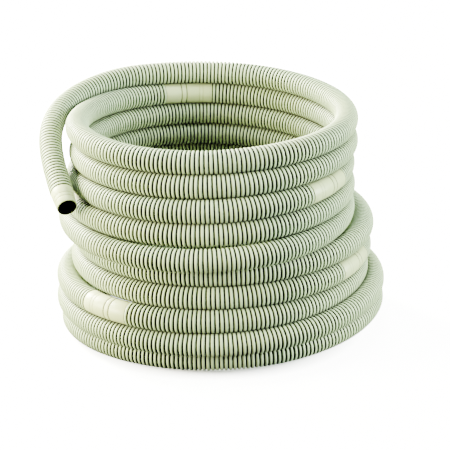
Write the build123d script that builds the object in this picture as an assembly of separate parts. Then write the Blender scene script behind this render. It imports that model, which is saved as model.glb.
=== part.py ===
"""Corrugated drain hose for a caravan, 12 m long, coiled into a free-standing hank.

The hose is moulded in eight ribbed lengths with a plain cuff between each two, so it
can be cut at any cuff. It starts at a free end that hangs over the left of the hank,
goes round the top turn and winds down to the floor.
Millimetres. Z is up, the hank stands on z = 0 and its free end points toward -Y.
"""
import math
import os

from build123d import *

# Hose section. The outside diameter is the mean of crests and grooves, because the
# ribs of touching turns sit in each other's grooves.
TUBE = 27.2
BORE = 23.5
MOUTH = 25.6                # outside diameter at an open end, drawn in a little
PITCH = TUBE + 0.2          # drop of the hose in one full turn

# Lengths along the hose
MODULE = 1500.0             # from one cuff to the next
STEPS = 22                  # route steps in one module
STEP = MODULE / STEPS
MODULES = 8
FIRST_CUFF = 21             # route point at the middle of the first cuff

# Distance of the hose from the coil's axis at the back, right, front and left of
# each turn, from the top turn down. The turns were laid by hand and aren't equal.
REACH = (
    (190, 172, 150, 171),
    (191, 172, 160, 167),
    (187, 168, 173, 170),
    (184, 169, 178, 176),
    (188, 168, 195, 181),
    (200, 195, 170, 163),
    (190, 192, 179, 166),
    (193, 188, 191, 186),
    (203, 210, 199, 186),
    (196, 210, 177, 181),
    (158, 176, 184, 181),
)
AXIS_X = -2.2               # the coil's axis, placed so the hank is centred on 0, 0
AXIS_Y = -1.9

# Free end, from its mouth to the place where it joins the top turn
TAIL = (
    (-177, -111, 194.0),
    (-201, -41, 227.0),
    (-208, 31, 259.3),
    (-183, 102, 274.6),
    (-128, 159, 283.6),
)
COIL_START = 0.82           # in quarter turns, 1 is the back and 2 is the right
LANDING = 40.0              # quarter turn at which the hose reaches the floor

# Places where the hose leaves its even descent, in quarter turns, and by how much: it is
# held up at the top turn's back and left and where two low turns pass over its end, and
# the fronts of the seven upper turns have sunk a little
HELD_UP = ((1, 2.0), (4, 3.5), (34, 9.5), (38, 9.5))
SUNK = tuple((front + 0.3, -2.5) for front in range(3, 28, 4))

# Cuff details, distances from the cuff's middle along the hose
GROOVE_WIDTH = 1.6
GROOVE_DEPTH = 0.8
CUFF_GROOVES = (-10.5, -3.0)
FREE_CUFF = 27.5            # plain length left at the free end
FLOOR_CUFF = 23.0           # plain length left at the floor end


def reach(quarter):
    """Distance from the coil's axis, a smooth curve through the table."""
    table = [value for turn in REACH for value in turn]
    first = math.floor(quarter) - 1
    part = quarter - math.floor(quarter)
    a, b, c, d = (table[min(max(first + k, 0), len(table) - 1)] for k in (-1, 0, 1, 2))
    slope = (c - a) * part
    bend = (2 * a - 5 * b + 4 * c - d) * part ** 2
    twist = (3 * b - a - 3 * c + d) * part ** 3
    return 0.5 * (2 * b + slope + bend + twist)


def height(quarter):
    """Height of the hose's centre above the floor."""
    z = TUBE / 2 + PITCH * max(0.0, LANDING - quarter) / 4
    for centre, rise in HELD_UP + SUNK:
        if abs(quarter - centre) < 1:
            z += rise * math.cos(math.radians(90 * (quarter - centre))) ** 2
    return z


def route_points():
    """Corners of the whole hose, from the free end's mouth to the end on the floor."""
    points = [Vector(x + AXIS_X, y + AXIS_Y, z) for x, y, z in TAIL]
    quarter = COIL_START
    while len(points) <= FIRST_CUFF + (MODULES - 1) * STEPS:
        radius = reach(quarter)
        outer = radius + STEP ** 2 / (8 * radius)
        angle = math.radians(90 * quarter)
        points.append(
            Vector(
                AXIS_X - outer * math.cos(angle),
                AXIS_Y + outer * math.sin(angle),
                height(quarter),
            )
        )
        quarter += math.degrees(STEP / radius) / 90
    return points


def corner_radii(points):
    """Arc radius at every inner corner, from the shorter of the runs beside it."""
    radii = [0.0]
    for before, here, after in zip(points, points[1:], points[2:]):
        run_in = here - before
        run_out = after - here
        turn = math.radians(run_in.get_angle(run_out))
        shorter = min(run_in.length, run_out.length)
        radii.append(0.45 * shorter / math.tan(turn / 2))
    return radii + [0.0]


def middle(points, index):
    """Point halfway along the run that follows the numbered corner."""
    return (points[index] + points[index + 1]) / 2


def swept(path, diameter):
    """Round bar along a path."""
    start = Plane(origin=path @ 0, z_dir=path % 0)
    return sweep(start * Circle(diameter / 2), path=path)


def ring_groove(path, distance):
    """Ring that cuts a shallow groove round the hose at a distance along a path."""
    place = distance / path.length
    section = Plane(origin=path @ place, z_dir=path % place)
    ring = Cylinder(TUBE / 2 + 1, GROOVE_WIDTH) - Cylinder(TUBE / 2 - GROOVE_DEPTH, GROOVE_WIDTH)
    return section * ring


def joint_cuff(points, radii, index):
    """Plain cuff between two ribbed lengths, with two grooves at its cutting place."""
    ends = (middle(points, index - 1), middle(points, index))
    path = FilletPolyline(ends[0], points[index], ends[1], radius=radii[index])
    cuff = swept(path, TUBE)
    for offset in CUFF_GROOVES:
        cuff -= ring_groove(path, path.length / 2 + offset)
    return cuff


def end_cuff(mouth, root):
    """Straight open cuff at an end of the hose, a little narrower at its mouth."""
    place = Plane(origin=mouth, z_dir=root - mouth)
    length = (root - mouth).length
    stand = (Align.CENTER, Align.CENTER, Align.MIN)
    cuff = Cone(MOUTH / 2, TUBE / 2, length, align=stand)
    return place * (cuff - Cylinder(BORE / 2, length, align=stand))


def ribbed_run(start, points, end, radii):
    """One ribbed length, as a plain bar, from start round the route's points to end."""
    path = FilletPolyline(start, *points, end, radius=radii)
    return swept(path, TUBE), path


points = route_points()
radii = corner_radii(points)
print("route points", len(points))
print("arc radii", [round(radius) for radius in radii[1:-1]])
print("smallest arc radius", round(min(radii[1:-1])))

free_root = points[0] + (points[1] - points[0]).normalized() * FREE_CUFF
floor_root = points[-1] + (points[-2] - points[-1]).normalized() * FLOOR_CUFF
joints = [FIRST_CUFF + STEPS * number for number in range(MODULES - 1)]
starts = [free_root] + [middle(points, index) for index in joints]
ends = [middle(points, index - 1) for index in joints] + [floor_root]
firsts = [1] + [index + 1 for index in joints]
lasts = joints + [len(points) - 1]

nodes = {"free_end_cuff": end_cuff(points[0], free_root)}
for number, (start, end, first, last) in enumerate(zip(starts, ends, firsts, lasts)):
    run, path = ribbed_run(start, points[first:last], end, radii[first:last])
    nodes[f"corrugated_run_{number + 1}"] = run
    expected = math.pi * (TUBE / 2) ** 2 * path.length
    print("run", number + 1, "length", round(path.length), "volume ratio",
          round(run.volume / expected, 4))

for number, index in enumerate(joints, start=1):
    nodes[f"joint_cuff_{number}"] = joint_cuff(points, radii, index)
nodes["floor_end_cuff"] = end_cuff(points[-1], floor_root)

os.makedirs("parts", exist_ok=True)
for name, solid in nodes.items():
    solid.label = name
    export_step(solid, f"parts/{name}.step")

boxes = [solid.bounding_box() for solid in nodes.values()]
for axis in ("X", "Y", "Z"):
    low = min(getattr(box.min, axis) for box in boxes)
    high = max(getattr(box.max, axis) for box in boxes)
    print(axis, round(low, 2), round(high, 2))
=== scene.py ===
"""Looks of a caravan waste hose: a 12 m corrugated hose coiled into a free-standing hank.

The route of the hose is the part's own, in metres. One smooth curve follows it, and the
ribbed lengths and the plain cuffs are thin-walled tubes made along that curve. Where two
turns pass close to each other, shade is painted into the surface's colour, as it is in
the grooves and near the floor, and where they press on each other the grooves are
shallower. The inside of the bore is painted near black as shade.
"""
import math

import bpy
import numpy as np
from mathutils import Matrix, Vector


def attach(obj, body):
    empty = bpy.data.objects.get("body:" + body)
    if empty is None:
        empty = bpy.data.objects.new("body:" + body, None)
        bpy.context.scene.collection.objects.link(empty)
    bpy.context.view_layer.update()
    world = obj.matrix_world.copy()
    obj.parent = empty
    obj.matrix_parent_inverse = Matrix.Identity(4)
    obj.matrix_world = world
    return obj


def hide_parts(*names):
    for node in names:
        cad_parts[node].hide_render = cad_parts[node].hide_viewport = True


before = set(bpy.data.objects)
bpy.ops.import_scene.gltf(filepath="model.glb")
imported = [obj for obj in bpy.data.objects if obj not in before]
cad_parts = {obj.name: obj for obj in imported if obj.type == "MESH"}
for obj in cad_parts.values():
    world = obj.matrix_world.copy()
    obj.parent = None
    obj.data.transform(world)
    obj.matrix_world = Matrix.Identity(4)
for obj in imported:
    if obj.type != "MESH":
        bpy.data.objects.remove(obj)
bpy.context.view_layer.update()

# Route of the hose, as in the part
TUBE = 0.0272               # diameter of the part's own bar
PITCH = TUBE + 0.0002       # drop of the hose in one full turn
MODULE = 1.5                # from one cuff to the next
STEPS = 22                  # route steps in one module
STEP = MODULE / STEPS
MODULES = 8
FIRST_CUFF = 21             # route point at the middle of the first cuff

# Distance of the hose from the coil's axis at the back, right, front and left of each
# turn, from the top turn down
REACH = (
    (0.190, 0.172, 0.150, 0.171),
    (0.191, 0.172, 0.160, 0.167),
    (0.187, 0.168, 0.173, 0.170),
    (0.184, 0.169, 0.178, 0.176),
    (0.188, 0.168, 0.195, 0.181),
    (0.200, 0.195, 0.170, 0.163),
    (0.190, 0.192, 0.179, 0.166),
    (0.193, 0.188, 0.191, 0.186),
    (0.203, 0.210, 0.199, 0.186),
    (0.196, 0.210, 0.177, 0.181),
    (0.158, 0.176, 0.184, 0.181),
)
AXIS_X = -0.0022            # the coil's axis
AXIS_Y = -0.0019

# Free end, from its mouth to the place where it joins the top turn
TAIL = (
    (-0.177, -0.111, 0.1940),
    (-0.201, -0.041, 0.2270),
    (-0.208, 0.031, 0.2593),
    (-0.183, 0.102, 0.2746),
    (-0.128, 0.159, 0.2836),
)
COIL_START = 0.82           # in quarter turns, 1 is the back and 2 is the right
LANDING = 40.0              # quarter turn at which the hose reaches the floor

# Places where the hose leaves its even descent, in quarter turns, and by how much
HELD_UP = ((1, 0.002), (4, 0.0035), (34, 0.0095), (38, 0.0095))
SUNK = tuple((front + 0.3, -0.0025) for front in range(3, 28, 4))

# Section of the hose
CREST = 0.0149              # radius over the ribs
BORE = 0.01175
RIB = 0.00525               # from one rib to the next
RIB_DEPTH = 0.0021
CUFF = 0.0144               # radius of the plain cuffs
MOUTH = 0.0128              # radius outside at an open end
EDGE = 0.0005               # how far a cuff's edges are rounded
SIDES = 32                  # corners round every ring

# One rib: places along it as fractions of its length, and shares of its groove's depth
RIB_SHAPE = (
    (0.00, 1.00),
    (0.20, 1.00),
    (0.28, 0.50),
    (0.37, 0.10),
    (0.60, 0.00),
    (0.83, 0.10),
    (0.92, 0.50),
)
GROOVE_SHADE_FULL_AT = 0.4               # share of a groove's depth at which its painted shade is full

# One moulded ring in a cuff: places along it in half widths, and shares of its depth
RING_SHAPE = ((-2, 0), (-1, 0.2), (-0.4, 1), (0.4, 1), (1, 0.2), (2, 0))

# Where one turn passes another
NESTED = 0.8                # share of a groove's depth lost where turns press on each other
LOOSE = 0.002               # gap between crests at which they no longer press
CREVICE_SHADE_GAP = 0.007             # gap to the next turn below which shade is painted on the hose
FLOOR_SHADE = 0.032         # height above the floor below which shade is painted on the hose
APART = 0.35                # length of hose after which it counts as another turn
SKIP = 4                    # the search for passing turns uses one line point in four
BESIDE = 1.5 * CREST        # how far ahead of a ring, or behind it, a passing turn may lie

# Rings moulded into a cuff, from its upstream end: place, half width and depth
BEAD_RINGS = ((0.0236, 0.0008, 0.0009), (0.0311, 0.0008, 0.0009))
FAINT_RINGS = ((0.0500, 0.0005, 0.0003), (0.0550, 0.0005, 0.0003))
MOUTH_RINGS = ((0.0095, 0.0005, 0.0004), (0.0150, 0.0005, 0.0004))
FREE_CUFF = 0.0275          # plain length left at the free end
FLOOR_CUFF = 0.0230         # plain length left at the floor end

# Linear colours of the plastic: the two tints it drifts between; then the near black of the shade
# painted into its grooves and crevices, and of the shade painted inside the bore
HOSE_COLOURS = ((0.38, 0.49, 0.29), (0.43, 0.53, 0.30))
CUFF_COLOURS = ((0.40, 0.46, 0.23), (0.44, 0.49, 0.25))
PAINTED_SHADE_COLOUR = (0.005, 0.006, 0.004)
BORE_PAINTED_SHADE = (0.004, 0.005, 0.004)
DRIFT_SCALE = 9.0
DRIFT_BETWEEN = (0.38, 0.62)  # noise values at which the first and the second tint are pure
SPECULAR = 0.4
HOSE_ROUGHNESS = 0.4
CUFF_ROUGHNESS = 0.42

# Camera and studio
CAMERA_HEIGHT = math.radians(20)
CAMERA_AWAY = 2.6
CAMERA_LENS = 160.7
CAMERA_AIM = (0.0152, AXIS_Y, 0.1320)
LIT = (0.0, 0.0, 0.12)      # the point that the lights face
LIGHT_SIZE = (1.2, 1.0)
FLOOR_COLOUR = (0.93, 0.93, 0.92)
FLOOR_GLOW = 11.0
BRIGHT_FLOOR = (0.17, 0.20)  # distances from the middle between which the floor brightens
WORLD_COLOUR = (0.85, 0.93, 1.0)
WORLD_LIGHT = 0.12          # strength of the surroundings as a light
WORLD_SEEN = 12.0           # and as the camera sees them


def reach(quarter):
    """Distance from the coil's axis, a smooth curve through the table."""
    table = [value for turn in REACH for value in turn]
    first = math.floor(quarter) - 1
    part = quarter - math.floor(quarter)
    a, b, c, d = (table[min(max(first + k, 0), len(table) - 1)] for k in (-1, 0, 1, 2))
    slope = (c - a) * part
    bend = (2 * a - 5 * b + 4 * c - d) * part ** 2
    twist = (3 * b - a - 3 * c + d) * part ** 3
    return 0.5 * (2 * b + slope + bend + twist)


def height(quarter):
    """Height of the hose's centre above the floor."""
    z = CREST + PITCH * max(0.0, LANDING - quarter) / 4
    for centre, rise in HELD_UP + SUNK:
        if abs(quarter - centre) < 1:
            z += rise * math.cos(math.radians(90 * (quarter - centre))) ** 2
    return z


def route_points():
    """Corners of the whole hose, from the free end's mouth to the end on the floor."""
    points = [Vector((x + AXIS_X, y + AXIS_Y, z + CREST - TUBE / 2)) for x, y, z in TAIL]
    quarter = COIL_START
    while len(points) <= FIRST_CUFF + (MODULES - 1) * STEPS:
        radius = reach(quarter)
        outer = radius + STEP ** 2 / (8 * radius)
        angle = math.radians(90 * quarter)
        x = AXIS_X - outer * math.cos(angle)
        y = AXIS_Y + outer * math.sin(angle)
        points.append(Vector((x, y, height(quarter))))
        quarter += math.degrees(STEP / radius) / 90
    return points


class Line:
    """The hose's smooth centreline, with a steady sideways direction all along it."""

    def __init__(self, corners):
        curve = bpy.data.curves.new("hose_line", "CURVE")
        curve.dimensions = "3D"
        curve.resolution_u = 16
        spline = curve.splines.new("NURBS")
        spline.points.add(len(corners) - 1)
        for point, corner in zip(spline.points, corners):
            point.co = (*corner, 1.0)
        spline.order_u = 3
        spline.use_endpoint_u = True
        carrier = bpy.data.objects.new("hose_line", curve)
        mesh = bpy.data.meshes.new_from_object(carrier)
        self.points = np.array([vertex.co for vertex in mesh.vertices])
        bpy.data.objects.remove(carrier)
        bpy.data.meshes.remove(mesh)
        bpy.data.curves.remove(curve)
        steps = np.diff(self.points, axis=0)
        self.at = np.concatenate([[0.0], np.cumsum(np.linalg.norm(steps, axis=1))])
        self.ahead = np.gradient(self.points, self.at, axis=0)
        self.ahead /= np.linalg.norm(self.ahead, axis=1)[:, None]
        side = np.cross(self.ahead[0], (0.0, 0.0, 1.0))
        sides = []
        for ahead in self.ahead:
            side = side - ahead * side.dot(ahead)
            side = side / np.linalg.norm(side)
            sides.append(side)
        self.side = np.array(sides)
        self.length = float(self.at[-1])

    def nearest(self, place):
        """Distance along the line of the point nearest to a place."""
        gaps = np.linalg.norm(self.points - np.array(place), axis=1)
        return float(self.at[int(np.argmin(gaps))])

    def sample(self, distances):
        """Places, directions along and two directions across at the distances."""
        def read(table):
            return np.stack([np.interp(distances, self.at, column) for column in table.T], axis=1)
        ahead = read(self.ahead)
        ahead /= np.linalg.norm(ahead, axis=1)[:, None]
        side = read(self.side)
        side -= ahead * np.sum(side * ahead, axis=1)[:, None]
        side /= np.linalg.norm(side, axis=1)[:, None]
        return read(self.points), ahead, side, np.cross(ahead, side)

    def stretch(self, start, end):
        """The line's own points between two distances, as a list."""
        inside = self.at[(self.at > start) & (self.at < end)]
        places = self.sample(np.concatenate([[start], inside, [end]]))[0]
        return places.tolist()


def passing_turns(line, distances, places, ahead):
    """Offsets, across the hose, from each ring's centre to the turns above and below it.

    A turn that isn't there is put far off.
    """
    far_off = 1.0
    offsets = line.points[None, ::SKIP] - places[:, None]
    other = np.abs(line.at[None, ::SKIP] - distances[:, None]) > APART
    gaps = np.linalg.norm(offsets, axis=2)
    row = np.arange(len(places))
    turns = []
    for side in (offsets[:, :, 2] > 0, offsets[:, :, 2] <= 0):
        closest = np.argmin(np.where(other & side, gaps, far_off), axis=1)
        found = (other & side)[row, closest][:, None]
        nearest = offsets[row, closest]
        along = np.sum(nearest * ahead, axis=1)[:, None]
        passing = found & (np.abs(along) < BESIDE)
        turns.append(np.where(passing, nearest - ahead * along, far_off))
    return turns


def contact(offsets, across, radii):
    """How hard passing turns press on each corner of each ring, and how much shade is painted
    there.
    """
    nested = np.zeros(across.shape[:2])
    painted_shade = np.zeros(across.shape[:2])
    for offset in offsets:
        apart = np.linalg.norm(offset, axis=1)[:, None]
        toward = np.clip(np.sum(across * (offset / apart)[:, None], axis=2), 0, 1)
        pressed = np.clip((2 * CREST + LOOSE - apart) / LOOSE, 0, 1)
        nested = np.maximum(nested, pressed * toward ** 2)
        outward = across * radii[:, None, None] - offset[:, None]
        gap = np.linalg.norm(outward, axis=2) - CREST
        painted_shade = np.maximum(painted_shade, np.clip(1 - gap / CREVICE_SHADE_GAP, 0, 1) ** 2)
    return nested, painted_shade


def ring_faces(count):
    """Quads that join each ring of corners to the next, and the last to the first."""
    ring = np.arange(count)[:, None]
    corner = np.arange(SIDES)[None, :]
    after = (ring + 1) % count
    beside = (corner + 1) % SIDES
    faces = np.stack(
        [
            ring * SIDES + corner,
            ring * SIDES + beside,
            after * SIDES + beside,
            after * SIDES + corner,
        ],
        axis=2,
    )
    return faces.reshape(-1, 4).tolist()


def tube(name, line, outside, materials):
    """Thin-walled tube round the line.

    outside lists the rings of the outer face: distance along the line, radius, and the
    depth of the groove there. The bore runs back inside it, with the second material.
    """
    start, end = outside[0][0], outside[-1][0]
    turns = max(2, round((end - start) / RIB))
    inside = [(distance, BORE, 0.0) for distance in np.linspace(end, start, turns)]
    distances, radii, dips = np.array(outside + inside).T
    places, ahead, side, up = line.sample(distances)
    turn = np.arange(SIDES) * 2 * math.pi / SIDES
    across = side[:, None] * np.cos(turn)[:, None] + up[:, None] * np.sin(turn)[:, None]
    # How hard passing turns press, and the shade painted where they pass close
    nested, painted_shade = contact(passing_turns(line, distances, places, ahead), across, radii)
    reach_out = radii[:, None] - dips[:, None] * (1 - NESTED * nested)
    rings = places[:, None] + across * reach_out[:, :, None]
    # Painted shade in the grooves, the darker the deeper
    painted_shade = np.maximum(painted_shade, np.clip(dips / RIB_DEPTH / GROOVE_SHADE_FULL_AT, 0, 1)[:, None])
    # Painted shade on the hose close to the floor
    painted_shade = np.maximum(painted_shade, np.clip(1 - rings[:, :, 2] / FLOOR_SHADE, 0, 1) ** 2)
    mesh = bpy.data.meshes.new(name)
    mesh.from_pydata(rings.reshape(-1, 3).tolist(), [], ring_faces(len(distances)))
    mesh.polygons.foreach_set("use_smooth", [True] * len(mesh.polygons))
    for material in materials:
        mesh.materials.append(material)
    row = np.arange(len(distances))
    in_bore = (row >= len(outside)) & (row < len(distances) - 1)
    mesh.polygons.foreach_set("material_index", np.repeat(in_bore, SIDES).astype(int))
    # The painted shade is stored on the mesh as a point attribute
    shade = mesh.attributes.new("painted_shade", "FLOAT", "POINT")
    shade.data.foreach_set("value", painted_shade.ravel())
    mesh.update()
    piece = bpy.data.objects.new(name, mesh)
    bpy.context.scene.collection.objects.link(piece)
    return piece


def ribbed_outside(start, end):
    """Rings of a ribbed length, with whole ribs from end to end."""
    ribs = round((end - start) / RIB)
    pitch = (end - start) / ribs
    rings = []
    for rib in range(ribs):
        for along, down in RIB_SHAPE:
            rings.append((start + (rib + along) * pitch, CREST, RIB_DEPTH * down))
    rings.append((end, CREST, RIB_DEPTH))
    return rings


def cuff_outside(start, end, ends, grooves):
    """Rings of a plain cuff with rounded edges, its radius at both ends and moulded rings."""
    def radius(distance):
        return ends[0] + (ends[1] - ends[0]) * (distance - start) / (end - start)

    rings = [
        (start, ends[0] - EDGE, 0.0),
        (start + 0.4 * EDGE, ends[0] - 0.3 * EDGE, 0.0),
        (start + EDGE, radius(start + EDGE), 0.0),
    ]
    for place, half, depth in grooves:
        middle = start + place
        for offset, share in RING_SHAPE:
            distance = middle + offset * half
            rings.append((distance, radius(distance), share * depth))
    rings.append((end - EDGE, radius(end - EDGE), 0.0))
    rings.append((end - 0.4 * EDGE, ends[1] - 0.3 * EDGE, 0.0))
    rings.append((end, ends[1] - EDGE, 0.0))
    return rings


def hose_material(name, colours, roughness):
    """Moulded plastic whose tint drifts from place to place, with shade painted into its grooves,
    its crevices and its low side near the floor.
    """
    material = bpy.data.materials.new(name)
    material.use_nodes = True
    nodes = material.node_tree.nodes
    links = material.node_tree.links
    shader = nodes["Principled BSDF"]
    shader.inputs["Specular IOR Level"].default_value = SPECULAR
    place = nodes.new("ShaderNodeTexCoord")
    drift = nodes.new("ShaderNodeTexNoise")
    drift.inputs["Scale"].default_value = DRIFT_SCALE
    drift.inputs["Detail"].default_value = 1.0
    ramp = nodes.new("ShaderNodeValToRGB")
    for element, position, colour in zip(ramp.color_ramp.elements, DRIFT_BETWEEN, colours):
        element.position = position
        element.color = (*colour, 1.0)
    # Painted shade: the mesh's attribute mixes the tint towards near black, and also raises the
    # roughness
    painted_shade = nodes.new("ShaderNodeAttribute")
    painted_shade.attribute_name = "painted_shade"
    shade = nodes.new("ShaderNodeMix")
    shade.data_type = "RGBA"
    shade.inputs[7].default_value = (*PAINTED_SHADE_COLOUR, 1.0)
    dull = nodes.new("ShaderNodeMapRange")
    dull.inputs["To Min"].default_value = roughness
    dull.inputs["To Max"].default_value = 1.0
    links.new(painted_shade.outputs["Fac"], dull.inputs["Value"])
    links.new(dull.outputs["Result"], shader.inputs["Roughness"])
    links.new(place.outputs["Object"], drift.inputs["Vector"])
    links.new(drift.outputs["Fac"], ramp.inputs["Fac"])
    links.new(painted_shade.outputs["Fac"], shade.inputs[0])
    links.new(ramp.outputs["Color"], shade.inputs[6])
    links.new(shade.outputs[2], shader.inputs["Base Color"])
    return material


def bore_material():
    """Inside of the hose, painted near black as shade, where hardly any light comes back out."""
    material = bpy.data.materials.new("bore_shadow")
    material.use_nodes = True
    shader = material.node_tree.nodes["Principled BSDF"]
    shader.inputs["Base Color"].default_value = (*BORE_PAINTED_SHADE, 1.0)
    shader.inputs["Roughness"].default_value = 0.9
    shader.inputs["Specular IOR Level"].default_value = 0.0
    return material


def settle(piece, node):
    """Let a piece stand for its CAD node."""
    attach(piece, "root")
    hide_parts(node)


def area_light(name, place, energy, colour):
    """Soft rectangular light that faces the hank."""
    light = bpy.data.lights.new(name, "AREA")
    light.shape = "RECTANGLE"
    light.size, light.size_y = LIGHT_SIZE
    light.energy = energy
    light.color = colour
    lamp = bpy.data.objects.new(name, light)
    lamp.location = place
    lamp.rotation_euler = (Vector(LIT) - Vector(place)).to_track_quat("-Z", "Y").to_euler()
    bpy.context.scene.collection.objects.link(lamp)


def stage_floor():
    """White floor that casts no light on the hose, and glows from BRIGHT_FLOOR outward."""
    mesh = bpy.data.meshes.new("floor")
    mesh.from_pydata([(-6, -6, 0), (6, -6, 0), (6, 6, 0), (-6, 6, 0)], [], [(0, 1, 2, 3)])
    material = bpy.data.materials.new("floor_white")
    material.use_nodes = True
    nodes = material.node_tree.nodes
    links = material.node_tree.links
    shader = nodes["Principled BSDF"]
    shader.inputs["Base Color"].default_value = (*FLOOR_COLOUR, 1.0)
    shader.inputs["Roughness"].default_value = 0.9
    shader.inputs["Specular IOR Level"].default_value = 0.1
    shader.inputs["Emission Color"].default_value = (1.0, 1.0, 1.0, 1.0)
    place = nodes.new("ShaderNodeTexCoord")
    away = nodes.new("ShaderNodeVectorMath")
    away.operation = "LENGTH"
    glow = nodes.new("ShaderNodeMapRange")
    glow.inputs["From Min"].default_value = BRIGHT_FLOOR[0]
    glow.inputs["From Max"].default_value = BRIGHT_FLOOR[1]
    glow.inputs["To Max"].default_value = FLOOR_GLOW
    links.new(place.outputs["Object"], away.inputs[0])
    links.new(away.outputs["Value"], glow.inputs["Value"])
    links.new(glow.outputs["Result"], shader.inputs["Emission Strength"])
    mesh.materials.append(material)
    floor = bpy.data.objects.new("floor", mesh)
    floor.visible_diffuse = False
    floor.visible_glossy = False
    bpy.context.scene.collection.objects.link(floor)


def surroundings():
    """White to the camera, and only a dim cool light on the hose."""
    world = bpy.data.worlds.new("studio")
    world.use_nodes = True
    nodes = world.node_tree.nodes
    links = world.node_tree.links
    background = nodes["Background"]
    background.inputs["Color"].default_value = (*WORLD_COLOUR, 1.0)
    seen = nodes.new("ShaderNodeLightPath")
    strength = nodes.new("ShaderNodeMapRange")
    strength.inputs["To Min"].default_value = WORLD_LIGHT
    strength.inputs["To Max"].default_value = WORLD_SEEN
    links.new(seen.outputs["Is Camera Ray"], strength.inputs["Value"])
    links.new(strength.outputs["Result"], background.inputs["Strength"])
    bpy.context.scene.world = world


def lights():
    """A soft light at each side, a strong one behind on the left and a weak one above."""
    area_light("left", (-2.1, -0.7, 0.7), 445, (1.0, 0.97, 0.60))
    area_light("right", (2.1, -0.6, 0.7), 305, (0.88, 1.0, 0.84))
    area_light("back_left", (-1.8, 1.6, 1.2), 1300, (1.0, 0.98, 0.76))
    area_light("top", (0.0, 0.0, 2.6), 150, (0.92, 1.0, 0.98))


def camera():
    """Long lens a little above the hank, looking along +Y."""
    lens = bpy.data.cameras.new("camera")
    lens.lens = CAMERA_LENS
    eye = bpy.data.objects.new("camera", lens)
    aim = Vector(CAMERA_AIM)
    back = Vector((0.0, -math.cos(CAMERA_HEIGHT), math.sin(CAMERA_HEIGHT)))
    eye.location = aim + back * CAMERA_AWAY
    eye.rotation_euler = (-back).to_track_quat("-Z", "Y").to_euler()
    bpy.context.scene.collection.objects.link(eye)
    bpy.context.scene.camera = eye


corners = route_points()
line = Line(corners)
bore = bore_material()
hose_plastic = hose_material("hose_plastic", HOSE_COLOURS, HOSE_ROUGHNESS)
cuff_plastic = hose_material("cuff_plastic", CUFF_COLOURS, CUFF_ROUGHNESS)

# The plain cuffs: where each starts and ends along the hose, its radii and its rings
cuffs = [("free_end_cuff", 0.0, FREE_CUFF, (MOUTH, CUFF), MOUTH_RINGS)]
for number in range(MODULES - 1):
    joint = FIRST_CUFF + STEPS * number
    start = line.nearest((corners[joint - 1] + corners[joint]) / 2)
    end = line.nearest((corners[joint] + corners[joint + 1]) / 2)
    cuffs.append((f"joint_cuff_{number + 1}", start, end, (CUFF, CUFF), BEAD_RINGS + FAINT_RINGS))
floor_cuff = line.length - FLOOR_CUFF
cuffs.append(("floor_end_cuff", floor_cuff, line.length, (CUFF, MOUTH), ()))

for name, start, end, radii, grooves in cuffs:
    outside = cuff_outside(start, end, radii, grooves)
    piece = tube(f"{name}_skin", line, outside, (cuff_plastic, bore))
    settle(piece, name)

for number, (before, after) in enumerate(zip(cuffs, cuffs[1:]), start=1):
    start, end = before[2], after[1]
    piece = tube(f"ribs_{number}", line, ribbed_outside(start, end), (hose_plastic, bore))
    settle(piece, f"corrugated_run_{number}")
    path = line.stretch(start, end)

stage_floor()
surroundings()
lights()
camera()
